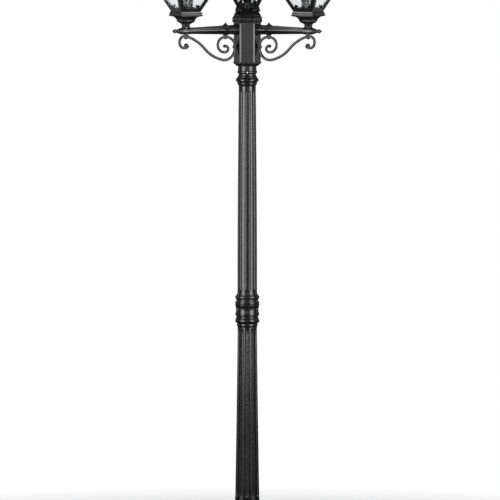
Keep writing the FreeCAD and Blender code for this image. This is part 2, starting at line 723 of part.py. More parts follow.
def turned_at(name, outline, at):
    return place(turned(name, outline), *at)


def bracket_screws():
    """Two dome-headed screws under each arm."""
    screws = []
    for name, angle in ARMS:
        way = math.radians(angle)
        for number, (out, seat) in enumerate(bracket_seats()):
            at = (out * math.cos(way), out * math.sin(way), size("arm_height"))
            screws.append(turned_at(f"dome_{name}_{number}", (
                (0, -seat - 5), (1, -seat - 5), (4.6, -seat - 3, 0.4), (6, -seat, 0.5),
                (3, -seat), (3, -8), (0, -8)), at))
    finish(joined("dome_screws", screws, "Compound"), "bracket_screws")


def wiring():
    """Cable up the post, and a wire through each arm to its lamp holder."""
    rise = cylinder("post_cable", 4.5, size("arm_height") - 134 - 14, (0, 0, 134))
    wires = [rise]
    start, bend = 6, 9
    for name, angle in ARMS:
        run = size("arm_reach") - start - bend
        steps = ((run,), (bend, 90), (38,))
        wire, _ = swept_bar(f"wire_{name}", 2.2, (start, 0), 0, steps)
        wires.append(place(wire, 0, 0, size("arm_height"), about_z(angle)))
    finish(joined("wire_set", wires, "Compound"), "wiring")


# ---------------------------------------------------------------- a lantern


def lantern_neck(name, angle):
    body = turned(f"neck_{name}", (
        (5.05, 11.6), (15, 11.6), (15, 13.4, 0.5), (13.4, 14.4), (13.4, 15.2), (14.6, 16.6),
        (14.6, 18.4, 0.5), (12.6, 19.8), (14.2, 21.6, -0.4), (17, 23.2), (17, 25.2, 0.6),
        (16, 26), (5.05, 26)))
    on_arm(body, f"lantern_neck_{name}", angle, size("arm_reach"))


def lantern_cup(name, angle):
    """Square ogee cup with a moulded rim, hollow above its floor."""
    top = size("cup_height")
    outer = prismatic(f"cup_{name}_outer", (
        (0, 26), (14.5, 26), (19.5, 29.5), (23.5, 37, 0.8), (27.5, 44.5, -0.6),
        (31, 48.4, -0.5), (41.5, top - 16.4, -0.5), (43.8, top - 15), (43.8, top - 12.4, 0.5),
        (41.6, top - 10.4), (41.6, top - 8.6), (42.4, top - 7.2), (41.2, top - 4.4, 0.6),
        (39.4, top), (0, top)), 4)
    room = frustum(f"cup_{name}_room", 22, 33, 44, top + 4)
    hole = cylinder(f"cup_{name}_hole", 5, 60, (0, 0, 0))
    on_arm(cut(f"cup_{name}_cut", outer, [room, hole]), f"lantern_cup_{name}", angle,
           size("arm_reach"))


def window(name, turn):
    """Opening in two opposite faces of the cage, arched at its foot."""
    sill, rail, bar = size("sill"), size("head_rail"), size("bar_width")
    foot = size("cup_height") + sill
    head = size("cup_height") + size("cage_height") - rail
    slope = (size("cage_head") - size("cage_foot")) / size("cage_height")
    low = size("cage_foot") + slope * sill - bar
    high = size("cage_head") - slope * rail - bar
    sketch = draw_outline(free_sketch(name + "_outline", turn * UPRIGHT), (
        (low - 8, foot), (low + 3, foot + 12, 2.6), (high, head), (-high, head),
        (-(low + 3), foot + 12), (-(low - 8), foot, 2.6)))
    slab = doc.addObject("Part::Extrusion", name)
    slab.Base = sketch
    slab.DirMode = "Normal"
    slab.LengthFwd = 260
    slab.Symmetric = True
    slab.Solid = True
    return slab


def lantern_cage(name, angle):
    """Flared square frame, with two hinge knuckles and a lug for the thumbscrew."""
    foot, head = size("cage_foot"), size("cage_head")
    low, wall = size("cup_height"), size("cage_wall")
    high = low + size("cage_height")
    slope = (head - foot) / size("cage_height")
    outer = frustum(f"cage_{name}_outer", foot, head, low, high)
    inner = frustum(f"cage_{name}_inner", foot - wall - slope * 4, head - wall + slope * 4,
                    low - 4, high + 4)
    knuckles = [hinge_barrel(f"cage_{name}_knuckle_{n}", side, 12, high)
                for n, side in enumerate((-19, 7))]
    lug = box(f"cage_{name}_lug", (-(size("screw_out") + 7), -8, high - 6), (22, 16, 6))
    solid = joined(f"cage_{name}_solid", [outer, lug] + knuckles)
    pin_hole = cylinder(f"cage_{name}_pin", 1.5, 60, (size("hinge_out"), 30, high), UPRIGHT)
    screw_hole = cylinder(f"cage_{name}_screw", 2.6, 20, (-size("screw_out"), 0, high - 12))
    tools = [inner, window(f"cage_{name}_window_0", Rotation()),
             window(f"cage_{name}_window_1", about_z(90)), pin_hole, screw_hole]
    on_arm(cut(f"cage_{name}_cut", solid, tools), f"lantern_cage_{name}", angle,
           size("arm_reach"))


def hinge_barrel(name, side, width, height):
    """Hinge knuckle with a leaf that runs in to the rail."""
    out = size("hinge_out")
    barrel = cylinder(name + "_barrel", 4, width, (out, side + width, height), UPRIGHT)
    leaf = box(name + "_leaf", (out - 14, side, height - 6), (14, width, 5))
    return joined(name, [barrel, leaf])


def lantern_glass(name, angle):
    """Four panes in one group, standing inside the frame."""
    low, wall = size("cup_height"), size("cage_wall")
    slope = (size("cage_head") - size("cage_foot")) / size("cage_height")
    bottom, top = low + 5, low + size("cage_height") - 4
    face_low = size("cage_foot") - wall + slope * 5 - 0.2
    face_high = size("cage_head") - wall - slope * 4 - 0.2
    thick = size("glass") * 1.12
    outer = frustum(f"glass_{name}_outer", face_low, face_high, bottom, top)
    inner = frustum(f"glass_{name}_inner", face_low - thick - slope * 8,
                    face_high - thick + slope * 8, bottom - 8, top + 8)
    slots = []
    for number, turn in enumerate((45, 135)):
        slot = box(f"glass_{name}_slot_{number}", (0, 0, 0), (320, 7, 300))
        way = about_z(turn)
        slot.Placement = Placement(way.multVec(Vector(-160, -3.5, 0)), way)
        slots.append(slot)
    on_arm(cut(f"glass_{name}_cut", outer, [inner] + slots), f"lantern_glass_{name}", angle,
           size("arm_reach"))


def lamp_holder(name, angle):
    """Screw lamp holder under a round sleeve, on the cup's floor."""
    floor = 44
    body = turned(f"holder_{name}", (
        (6, floor), (19, floor), (19, floor + 3), (16.6, floor + 5), (15, floor + 7),
        (15, floor + 68), (17, floor + 69.5), (17, floor + 74), (15.6, floor + 75),
        (13.6, floor + 75), (13.6, floor + 50), (6, floor + 46)))
    on_arm(body, f"lamp_holder_{name}", angle, size("arm_reach"))


def bulb(name, angle):
    """Screw cap with its thread rings, and a round glass envelope."""
    foot = 96
    thread = []
    for turn in range(5):
        base = foot + 4 + turn * 3.6
        thread += [(12.4, base), (13.1, base + 1.8, 0.3), (12.4, base + 3.4, 0.3)]
    cap = turned(f"cap_{name}", (
        (0, foot), (4.4, foot), (4.4, foot + 1), (9, foot + 3), *thread,
        (12.4, foot + 25), (13.2, foot + 27), (11.6, foot + 27), (11.6, foot + 5),
        (0, foot + 5)))
    on_arm(cap, f"bulb_cap_{name}", angle, size("arm_reach"))
    neck = foot + 27
    glass = turned(f"envelope_{name}", (
        (11.5, neck - 10), (11.5, neck), (13.4, neck + 2), (17.6, neck + 12, -1),
        (22.5, neck + 27, 2.4), (1.2, neck + 49, 8.7), (0, neck + 49), (0, neck + 48),
        (1.2, neck + 48), (21.5, neck + 27, -8.2),
        (16.6, neck + 12.4, -2.3), (12.4, neck + 2.4, 0.9), (10.5, neck), (10.5, neck - 10)))
    on_arm(glass, f"bulb_glass_{name}", angle, size("arm_reach"))


def lantern_roof(name, angle):
    """Ogee roof on an eave band, hinged on its outer side, with its finial."""
    low = size("cup_height") + size("cage_height") + 0.3
    eave, tall = size("roof_half"), size("roof_height")
    top = low + tall
    outer = prismatic(f"roof_{name}_outer", (
        (0, low), (eave - 3, low), (eave, low + 3), (eave, low + 7, 0.6),
        (eave - 4, low + 9), (eave - 4, low + 11), (eave - 9, low + 14), (60, low + 42, -7),
        (27, low + 62, 4), (20, top - 5, -2), (16, top - 4), (16, top), (0, top)), 4)
    room = prismatic(f"roof_{name}_room", (
        (0, low - 4), (eave - 13, low - 4), (eave - 13, low + 10), (56, low + 38, -6),
        (14, top - 16, 2), (0, top - 12)), 4)
    barrel = hinge_barrel_roof(f"roof_{name}_knuckle", low)
    lug = box(f"roof_{name}_lug", (-(size("screw_out") + 7), -8, low), (22, 16, 5))
    solid = joined(f"roof_{name}_solid", [outer, barrel, lug])
    pin_hole = cylinder(f"roof_{name}_pin", 1.55, 60, (size("hinge_out"), 30, low - 0.3),
                        UPRIGHT)
    clearance = joined(f"roof_{name}_clear", [
        cylinder(f"roof_{name}_clear_{n}", 4.6, 12.6, (size("hinge_out"), side, low - 0.3), UPRIGHT)
        for n, side in enumerate((-6.7, 19.3))])
    screw_hole = cylinder(f"roof_{name}_screw", 2.1, 30, (-size("screw_out"), 0, low - 6))
    finial_hole = cylinder(f"roof_{name}_hole", 3, 40, (0, 0, top - 30))
    tools = [room, pin_hole, clearance, screw_hole, finial_hole]
    on_arm(cut(f"roof_{name}_cut", solid, tools), f"lantern_roof_{name}", angle,
           size("arm_reach"))
    finial = turned(f"crown_{name}", (
        (0, top - 14), (3, top - 14), (3, top), (13, top), (13.6, top + 2, 0.5),
        (10, top + 4.5), (10.4, top + 6), (10.4, top + 9, 0.9), (6.4, top + 11.5),
        (7, top + 14, -0.5), (13.8, top + 24, 1.4), (14.6, top + 27), (12.6, top + 30, 0.7),
        (6.4, top + 40, 1.2), (4.6, top + 42), (5.6, top + 44), (0.8, top + 56, 1.2),
        (0, top + 56)))
    on_arm(finial, f"lantern_finial_{name}", angle, size("arm_reach"))


def hinge_barrel_roof(name, low):
    """The roof's knuckle, between the cage's two, with its leaf up under the eave."""
    out = size("hinge_out")
    barrel = cylinder(name + "_barrel", 4, 13.4, (out, 6.7, low - 0.3), UPRIGHT)
    leaf = box(name + "_leaf", (out - 12, -6.7, low), (12, 13.4, 5))
    return joined(name, [barrel, leaf])


def thumbscrew(name, angle):
    """Knurled captive screw through the roof's lug."""
    seat = size("cup_height") + size("cage_height") + 5.6
    blank = turned(f"thumb_{name}", (
        (0, seat - 13), (1.6, seat - 13), (2, seat - 12), (2, seat), (5, seat),
        (5, seat + 1.5), (6.6, seat + 2.5), (6.6, seat + 8.5), (5.4, seat + 9.5),
        (0, seat + 9.5)))
    notches = ring(12, 0, lambda n, a: cylinder(
        f"thumb_{name}_notch_{n}", 0.8, 12,
        (7 * math.cos(math.radians(a)), 7 * math.sin(math.radians(a)), seat + 1)))
    knob = cut(f"thumb_{name}_cut", blank, notches)
    out = size("arm_reach") - size("screw_out")
    on_arm(knob, f"roof_screw_{name}", angle, out)


def small_hardware():
    """Hinge pins, and the hollow stems that hold the lanterns on their arms."""
    pins, stems = [], []
    hinge_height = size("arm_height") + size("cup_height") + size("cage_height")
    for name, angle in ARMS:
        way = math.radians(angle)
        out = size("arm_reach") + size("hinge_out")
        middle = (out * math.cos(way), out * math.sin(way), hinge_height)
        pin = turned(f"pin_{name}", ((0, -21), (1.8, -21), (2.6, -20.3), (2.6, -19),
                                     (1.5, -19), (1.5, 19), (2.6, 19), (2.6, 20.3),
                                     (1.8, 21), (0, 21)))
        pins.append(place(pin, *middle, turn=about_z(angle) * UPRIGHT))
        reach = size("arm_reach")
        stem = turned(f"stem_{name}", ((3.2, 9), (5, 9), (5, 44), (3.2, 44)))
        stems.append(place(stem, reach * math.cos(way), reach * math.sin(way),
                           size("arm_height")))
    finish(joined("pin_set", pins, "Compound"), "hinge_pins")
    finish(joined("stem_set", stems, "Compound"), "lantern_stems")


def check_and_write():
    """Recomputes, refuses any failed object, and writes one file for each sub-part."""
    doc.recompute()
    for thing in doc.Objects:
        if "Invalid" in thing.State or "Error" in thing.State:
            raise RuntimeError(f"{thing.Name} ({thing.Label}) failed: {thing.State}")
    os.makedirs("parts", exist_ok=True)
    for thing in nodes:
        shape = thing.Shape
        if shape.isNull() or not shape.isValid() or not shape.Solids:
            raise RuntimeError(f"{thing.Label} has no valid solid")
        shape.exportStep(f"parts/{thing.Label}.step")
        print(f"{thing.Label}: {len(shape.Solids)} solid(s), {shape.Volume / 1000:.1f} cm3")
    print(len(nodes), "nodes")


base_casting()
terminal_block()
lower_shaft()
coupling()
upper_shaft()
hub_socket()
hub_body()
hub_roof()
for arm_name, arm_angle in ARMS:
    arm(arm_name, arm_angle)
    for make in (lantern_neck, lantern_cup, lantern_cage, lantern_glass, lamp_holder, bulb,
                 lantern_roof, thumbscrew):
        make(arm_name, arm_angle)
bracket_screws()
wiring()
small_hardware()
check_and_write()
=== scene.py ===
"""Three-lantern lamp post: studio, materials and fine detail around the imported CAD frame.

Metres, Z up, the row frame. Every place comes from the CAD nodes' own boxes and corners.
"""

import math

import bmesh
import bpy
from mathutils import Matrix, Vector, noise


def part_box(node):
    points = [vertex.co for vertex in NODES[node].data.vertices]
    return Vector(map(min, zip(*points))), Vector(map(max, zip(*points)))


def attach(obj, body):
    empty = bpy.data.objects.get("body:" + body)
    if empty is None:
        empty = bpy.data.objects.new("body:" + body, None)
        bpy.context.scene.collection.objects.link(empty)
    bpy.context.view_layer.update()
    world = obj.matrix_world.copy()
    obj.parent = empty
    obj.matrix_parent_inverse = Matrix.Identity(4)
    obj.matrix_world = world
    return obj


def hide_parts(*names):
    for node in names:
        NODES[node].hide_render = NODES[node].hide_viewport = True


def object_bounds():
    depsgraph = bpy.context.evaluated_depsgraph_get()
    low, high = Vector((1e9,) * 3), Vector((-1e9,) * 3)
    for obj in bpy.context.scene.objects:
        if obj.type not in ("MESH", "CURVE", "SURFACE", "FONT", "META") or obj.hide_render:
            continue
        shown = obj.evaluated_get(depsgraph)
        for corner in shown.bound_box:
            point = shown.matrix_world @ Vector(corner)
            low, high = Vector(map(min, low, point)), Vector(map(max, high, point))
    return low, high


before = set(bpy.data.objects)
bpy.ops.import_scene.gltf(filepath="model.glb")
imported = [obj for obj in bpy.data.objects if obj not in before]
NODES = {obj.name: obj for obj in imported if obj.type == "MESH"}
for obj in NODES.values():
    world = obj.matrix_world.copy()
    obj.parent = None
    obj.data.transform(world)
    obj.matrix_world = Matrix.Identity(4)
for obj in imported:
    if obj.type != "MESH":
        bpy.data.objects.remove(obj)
CAD_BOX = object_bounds()
LANTERNS = ("left", "right", "rear")
MM = 0.001


# ------------------------------------------------------------------ node helpers


def node(tree, kind, wires=None, **settings):
    """Adds a shader node; wires gives its inputs by name, as values or as outputs."""
    made = tree.nodes.new("ShaderNode" + kind)
    for key, value in settings.items():
        setattr(made, key, value)
    for key, value in (wires or {}).items():
        if isinstance(value, bpy.types.NodeSocket):
            tree.links.new(value, made.inputs[key])
        else:
            made.inputs[key].default_value = value
    return made


def material(name, **sockets):
    """A new material's tree and Principled shader, and the object's own coordinates."""
    made = bpy.data.materials.new(name)
    made.use_nodes = True
    tree = made.node_tree
    shader = tree.nodes["Principled BSDF"]
    for key, value in sockets.items():
        shader.inputs[key.replace("_", " ")].default_value = value
    place = node(tree, "TexCoord").outputs["Object"]
    return made, tree, shader, place


def noise_of(tree, place, size, detail=2.0, rough=0.5, stretch=None):
    """Noise with features of about size metres, drawn out along an axis by stretch."""
    if stretch:
        place = node(tree, "Mapping", {"Vector": place, "Scale": stretch}).outputs[0]
    made = node(tree, "TexNoise", {
        "Vector": place, "Scale": 1 / size, "Detail": detail, "Roughness": rough})
    return made.outputs["Fac"]


def spread(tree, value, low, high, start=0.3, end=0.7):
    """Maps a noise value on to the range low to high."""
    return node(tree, "MapRange", {
        "Value": value, "From Min": start, "From Max": end,
        "To Min": low, "To Max": high}).outputs[0]


def math_of(tree, operation, first, second):
    """One step of arithmetic on two values or outputs."""
    return node(tree, "Math", {0: first, 1: second}, operation=operation).outputs[0]


def ramp(tree, value, *stops):
    """Colour ramp from (position, grey or colour) stops."""
    made = node(tree, "ValToRGB", {"Fac": value})
    points = made.color_ramp.elements
    for number, (position, colour) in enumerate(stops):
        if not isinstance(colour, tuple):
            colour = (colour, colour, colour)
        point = points[number] if number < 2 else points.new(position)
        point.position = position
        point.color = (*colour, 1)
    return made.outputs["Color"]


def bump(tree, shader, *layers):
    """Stacks bump layers of (height, depth in metres, strength) on the shader."""
    normal = None
    for height, depth, strength in layers:
        wires = {"Height": height, "Distance": depth, "Strength": strength}
        if normal is not None:
            wires["Normal"] = normal
        normal = node(tree, "Bump", wires).outputs["Normal"]
    tree.links.new(normal, shader.inputs["Normal"])


def edges(tree, radius):
    """Near 1 along edges and corners within radius, 0 on open faces."""
    rounded = node(tree, "Bevel", {"Radius": radius}, samples=4).outputs[0]
    flat = node(tree, "NewGeometry").outputs["Normal"]
    same = node(tree, "VectorMath", {0: rounded, 1: flat}, operation="DOT_PRODUCT")
    return spread(tree, same.outputs["Value"], 1.0, 0.0, 0.9, 0.995)


# ------------------------------------------------------------------ materials


def powder_coat():
    """Black textured powder coat on cast aluminium: fine grain over slow unevenness, and a
    painted highlight that makes the edges a little paler, in patches."""
    made, tree, shader, place = material("powder_coat", IOR=1.5)
    grain = noise_of(tree, place, 1.1 * MM, 3, 0.6)
    peel = noise_of(tree, place, 3.2 * MM, 2)
    cloud = noise_of(tree, place, 60 * MM, 3)
    mixed = math_of(tree, "ADD", math_of(tree, "MULTIPLY", grain, 0.25),
                    math_of(tree, "MULTIPLY", cloud, 0.75))
    coat = ramp(tree, mixed, (0.3, (0.0035, 0.0036, 0.0039)), (0.7, (0.008, 0.0081, 0.0086)))
    # painted highlight: a paler colour along edges and corners, in patches, stands in for
    # edge sheen
    painted_edge_sheen = math_of(tree, "MULTIPLY", edges(tree, 1.6 * MM),
                     spread(tree, noise_of(tree, place, 9 * MM, 3), 0, 0.55))
    colour = node(tree, "MixRGB", {
        "Fac": painted_edge_sheen, "Color1": coat, "Color2": (0.035, 0.0355, 0.037, 1)})
    tree.links.new(colour.outputs[0], shader.inputs["Base Color"])
    tree.links.new(spread(tree, cloud, 0.2, 0.27), shader.inputs["Roughness"])
    bump(tree, shader, (peel, 0.02 * MM, 0.5), (grain, 0.004 * MM, 0.5))
    return made


def black_oxide():
    """Blackened screw heads, smoother than the castings, with fine turning marks."""
    made, tree, shader, place = material("black_oxide", Metallic=0.6)
    grain = noise_of(tree, place, 0.5 * MM, 2)
    tree.links.new(ramp(tree, grain, (0.3, 0.022), (0.7, 0.05)), shader.inputs["Base Color"])
    tree.links.new(spread(tree, noise_of(tree, place, 3 * MM), 0.26, 0.4),
                   shader.inputs["Roughness"])
    bump(tree, shader, (grain, 0.02 * MM, 0.4))
    return made


def plated(name, dark, light, low, high, stretch):
    """Bare or plated metal: drawn-out scratches over a cloudy plating."""
    made, tree, shader, place = material(name, Metallic=1.0)
    lines = noise_of(tree, place, 0.7 * MM, 3, 0.6, stretch)
    cloud = noise_of(tree, place, 8 * MM, 3)
    mixed = math_of(tree, "MULTIPLY", math_of(tree, "ADD", lines, cloud), 0.5)
    tree.links.new(ramp(tree, mixed, (0.3, dark), (0.7, light)), shader.inputs["Base Color"])
    tree.links.new(spread(tree, mixed, low, high), shader.inputs["Roughness"])
    bump(tree, shader, (lines, 0.015 * MM, 0.4))
    return made


def plastic(name, dark, light, low, high, texture):
    """Moulded plastic or rubber with a fine mould texture."""
    made, tree, shader, place = material(name, IOR=1.5)
    grain = noise_of(tree, place, texture, 2)
    cloud = noise_of(tree, place, 14 * MM, 3)
    mixed = math_of(tree, "MULTIPLY", math_of(tree, "ADD", grain, cloud), 0.5)
    tree.links.new(ramp(tree, mixed, (0.3, dark), (0.7, light)), shader.inputs["Base Color"])
    tree.links.new(spread(tree, cloud, low, high), shader.inputs["Roughness"])
    bump(tree, shader, (grain, 0.03 * MM, 0.35))
    return made


def clear(name, tint, low, high, layers):
    """Glass with bump layers of (size, depth, strength). Light passes it without a dark
    shadow, to what stands behind."""
    made, tree, shader, place = material(name, IOR=1.5, Transmission_Weight=1.0)
    cloud = noise_of(tree, place, 3.5 * MM, 3)
    tree.links.new(ramp(tree, cloud, (0.3, tuple(c * 0.9 for c in tint)), (0.7, tint)),
                   shader.inputs["Base Color"])
    tree.links.new(spread(tree, cloud, low, high), shader.inputs["Roughness"])
    bump(tree, shader, *((noise_of(tree, place, size, 2), depth, strength)
                         for size, depth, strength in layers))
    through = node(tree, "BsdfTransparent", {"Color": (*(c * 0.92 for c in tint), 1)})
    shadow = node(tree, "LightPath").outputs["Is Shadow Ray"]
    both = node(tree, "MixShader", {0: shadow, 1: shader.outputs[0], 2: through.outputs[0]})
    tree.links.new(both.outputs[0], tree.nodes["Material Output"].inputs["Surface"])
    return made


def tungsten_wire():
    """Tungsten filament, unlit: dark grey drawn wire."""
    return plated("tungsten", (0.10, 0.10, 0.11), (0.26, 0.26, 0.27), 0.3, 0.5, (1, 1, 6))


FINISH = {
    "black_casting": powder_coat(),
    "black_screws": black_oxide(),
    "zinc_steel": plated("zinc_plate", (0.42, 0.43, 0.45), (0.62, 0.63, 0.64), 0.26, 0.44,
                         (1, 1, 0.15)),
    "bright_screws": plated("bright_steel", (0.62, 0.62, 0.62), (0.8, 0.8, 0.79), 0.16, 0.3,
                            (1, 1, 5)),
    "terminal_plastic": plastic("terminal_plastic", (0.66, 0.64, 0.58), (0.8, 0.78, 0.72),
                                0.35, 0.5, 0.8 * MM),
    "cable_sheath": plastic("cable_sheath", 0.018, 0.035, 0.5, 0.65, 0.6 * MM),
    "holder_black": plastic("holder_black", 0.010, 0.018, 0.14, 0.24, 1.4 * MM),
    "lamp_cap": plated("lamp_cap", (0.55, 0.54, 0.51), (0.76, 0.75, 0.72), 0.22, 0.36,
                       (1, 1, 8)),
    "seeded_glass": clear("seeded_glass", (0.95, 0.965, 0.97), 0.02, 0.07,
                          ((1.8 * MM, 0.014 * MM, 0.4),)),
    "lamp_glass": clear("lamp_glass", (0.97, 0.97, 0.965), 0.0, 0.02,
                        ((14 * MM, 0.05 * MM, 0.3),)),
}
TUNGSTEN = tungsten_wire()


# ------------------------------------------------------------------ finishing


def shown(name, mesh, finish, body, *stands_for):
    """A new piece from a mesh, riding on its body and standing for nodes. Its finish is a
    material slot's name, or a material of its own."""
    piece = bpy.data.objects.new(name, mesh)
    bpy.context.scene.collection.objects.link(piece)
    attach(piece, body)
    if finish in FINISH:
        mesh.materials.append(FINISH[finish])
    else:
        mesh.materials.append(finish)
    if stands_for:
        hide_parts(*stands_for)


def dress_nodes():
    """Gives every CAD node its finish, and the angular castings rounded edges. The cages and
    the hub body keep their packed edges: on the cages' ring-shaped tops the modifiers leave a
    face across the opening, and on the hub's cut corners they leave knots. Known faults: they
    also leave a face across the rear lantern roof's and the hub roof's undersides, and folded
    faces and shards on the arms."""
    for thing in NODES.values():
        slot = thing.data.materials[0].name
        for place in thing.material_slots:
            place.material = FINISH[slot]
    rounds = {"hub_roof": 1.8, "hub_bridge": 0.5, "arm_nuts": 0.5}
    for side in LANTERNS:
        rounds |= {f"arm_{side}": 2.0, f"arm_clip_{side}": 0.7, f"lantern_cup_{side}": 0.8,
                   f"lantern_roof_{side}": 1.0}
    for name, radius in rounds.items():
        soften(NODES[name], radius * MM)


def soften(thing, radius):
    """Rounds a node's sharp edges with modifiers, and leaves its mesh as packed."""
    thing.modifiers.new("weld", "WELD").merge_threshold = 1e-6
    flat = thing.modifiers.new("flat", "DECIMATE")
    flat.decimate_type = "DISSOLVE"
    flat.angle_limit = math.radians(0.4)
    edge = thing.modifiers.new("edge", "BEVEL")
    edge.width = radius
    edge.segments = 3
    edge.limit_method = "ANGLE"
    edge.angle_limit = math.radians(25)
    edge.harden_normals = True
    edge.miter_outer = "MITER_ARC"
    edge.use_clamp_overlap = False


# ------------------------------------------------------------------ mesh helpers


def lathe(shape, home, outline, sides=24):
    """Adds a turned solid: the outline of (radius, height) runs up from axis to axis."""
    rings = []
    for radius, height in outline:
        count = sides if radius else 1
        turns = [math.tau * n / count for n in range(count)]
        rings.append([shape.verts.new(home @ Vector(
            (radius * math.cos(turn), radius * math.sin(turn), height))) for turn in turns])
    for below, above in zip(rings, rings[1:]):
        for n in range(sides):
            corners = [below[n % len(below)], below[(n + 1) % sides % len(below)],
                       above[(n + 1) % sides % len(above)], above[n % len(above)]]
            shape.faces.new(dict.fromkeys(corners))


def wire(shape, home, path, radius, sides=8):
    """Adds a round wire along a path of points, closed at its ends."""
    rings = []
    for number, spot in enumerate(path):
        way = (path[min(number + 1, len(path) - 1)] - path[max(number - 1, 0)]).normalized()
        across = way.cross(Vector((0.31, 0.93, 0.2))).normalized()
        up = across.cross(way)
        rings.append([shape.verts.new(home @ (spot + radius * (
            math.cos(math.tau * n / sides) * across + math.sin(math.tau * n / sides) * up)))
            for n in range(sides)])
    for first, second in zip(rings, rings[1:]):
        for n in range(sides):
            m = (n + 1) % sides
            shape.faces.new((first[n], second[n], second[m], first[m]))
    shape.faces.new(rings[0])
    shape.faces.new(rings[-1][::-1])


def tongue(shape, home, width, length, thick):
    """Adds a flat strip with one rounded end, from its square end at the origin along +X,
    with its back on the plane Z = 0 and its front edges eased."""
    half, ease = width / 2, thick * 0.35
    layers = []
    for inset, height in ((0, 0), (0, thick - ease), (ease, thick)):
        outline = [(inset, half - inset)]
        for n in range(9):
            turn = math.pi * (0.5 - n / 8)
            outline.append((length - half + (half - inset) * math.cos(turn),
                            (half - inset) * math.sin(turn)))
        outline.append((inset, inset - half))
        layers.append([shape.verts.new(home @ Vector((x, y, height))) for x, y in outline])
    for below, above in zip(layers, layers[1:]):
        for n in range(len(below)):
            m = (n + 1) % len(below)
            shape.faces.new((below[n], above[n], above[m], below[m]))
    shape.faces.new(layers[0])
    shape.faces.new(layers[-1][::-1])


def made_mesh(name, shape, sharp=35):
    """Closes a bmesh into a smooth mesh whose edges stay sharp beyond an angle."""
    bmesh.ops.recalc_face_normals(shape, faces=shape.faces)
    mesh = bpy.data.meshes.new(name)
    shape.to_mesh(mesh)
    shape.free()
    mesh.shade_smooth()
    mesh.set_sharp_from_angle(angle=math.radians(sharp))
    return mesh


# ------------------------------------------------------------------ the fluted shafts

FLUTES = 12
FLUTE_DEPTH, FLUTE_HALF_WIDTH = 3.1 * MM, 5.3 * MM
CUTTER = (FLUTE_HALF_WIDTH ** 2 + FLUTE_DEPTH ** 2) / (2 * FLUTE_DEPTH)  # its radius
FLUTED_RUN = 400 * MM  # a side of the outline that runs up further than this is fluted
ARC_PARTS = 6


def arc_spots(start, end, rise):
    """Points inside an arc that bulges by rise to the right of its way."""
    along = end - start
    half = along.length / 2
    radius = math.copysign((half * half + rise * rise) / (2 * abs(rise)), rise)
    right = Vector((along.y, -along.x)).normalized()
    centre = (start + end) / 2 + right * (rise - radius)
    sweep = 2 * math.atan(abs(rise) / half)
    for part in range(1, ARC_PARTS):
        turn = sweep * (2 * part / ARC_PARTS - 1)
        yield (centre + right * radius * math.cos(turn)
               + along.normalized() * abs(radius) * math.sin(turn))


def shaft_rings(outline, fluted_heights):
    """(radius, height, whether it is fluted) round a shaft's closed outline. An outline's
    point is (radius, height), or (radius, height, rise) where an arc ends."""
    rings = []
    for number, point in enumerate(outline):
        start, end = Vector(outline[number - 1][:2]), Vector(point[:2])
        rise = point[2] if len(point) == 3 else 0
        along = end - start
        if along.y > FLUTED_RUN:
            for height in fluted_heights:
                share = (height - start.y) / along.y
                bulge = 4 * rise * share * (1 - share)
                rings.append((start.x + along.x * share + bulge, height, True))
        elif rise:
            rings += [(spot.x, spot.y, False) for spot in arc_spots(start, end, rise)]
        rings.append((end.x, end.y, False))
    return rings


def flute_heights(low, high):
    """Heights for the rings of a fluted stretch, whose flutes are straight from low to high
    and close in round ends beyond."""
    ends = [FLUTE_HALF_WIDTH * math.sin(math.radians(angle))
            for angle in (0, 20, 38, 54, 68, 80, 90)]
    tip, straight_parts = ends[-1], 32
    return ([low - tip - 5 * MM, low - tip - 1.5 * MM] + [low - end for end in ends[::-1]]
            + [low + (high - low) * n / straight_parts for n in range(1, straight_parts)]
            + [high + end for end in ends] + [high + tip + 1.5 * MM])


def half_angle(radius, centre, cut):
    """Half the angle that a cutter of radius cut, at centre from the axis, takes out."""
    return math.acos(min(1, (radius ** 2 + centre ** 2 - cut ** 2) / (2 * radius * centre)))


def flute_section(radius, over, fluted):
    """One flute with half a land on either side, as (angle, reach) from the shaft's axis.
    over is how far the ring lies past the flutes' straight part."""
    centre = radius - FLUTE_DEPTH + CUTTER
    cut = math.sqrt(max(0, CUTTER ** 2 - over ** 2)) if fluted else 0
    full = half_angle(radius, centre, CUTTER)
    half = full
    if fluted and over <= FLUTE_HALF_WIDTH:
        narrowest = full * 0.12
        half = max(half_angle(radius, centre, cut), narrowest)

    def groove(angle):
        inside = cut ** 2 - (centre * math.sin(angle)) ** 2
        if inside <= 0:
            return radius
        return min(radius, centre * math.cos(angle) - math.sqrt(inside))

    side = [(half * share, groove(half * share)) for share in (0.22, 0.44, 0.64, 0.78, 0.88)]
    groove_end, arris, land_start = side[-1], (half, radius), (half * 1.1, radius)
    for t in (0.25, 0.5, 0.75, 1.0):  # an eased edge between groove and land
        side.append(tuple((1 - t) ** 2 * a + 2 * t * (1 - t) * b + t * t * c
                          for a, b, c in zip(groove_end, arris, land_start)))
    land_middle = math.pi / FLUTES
    for share in (0.35, 0.7, 1.0):
        side.append((land_start[0] + (land_middle - land_start[0]) * share, radius))
    return [(-angle, reach) for angle, reach in side[-2::-1]] + [(0, groove(0))] + side


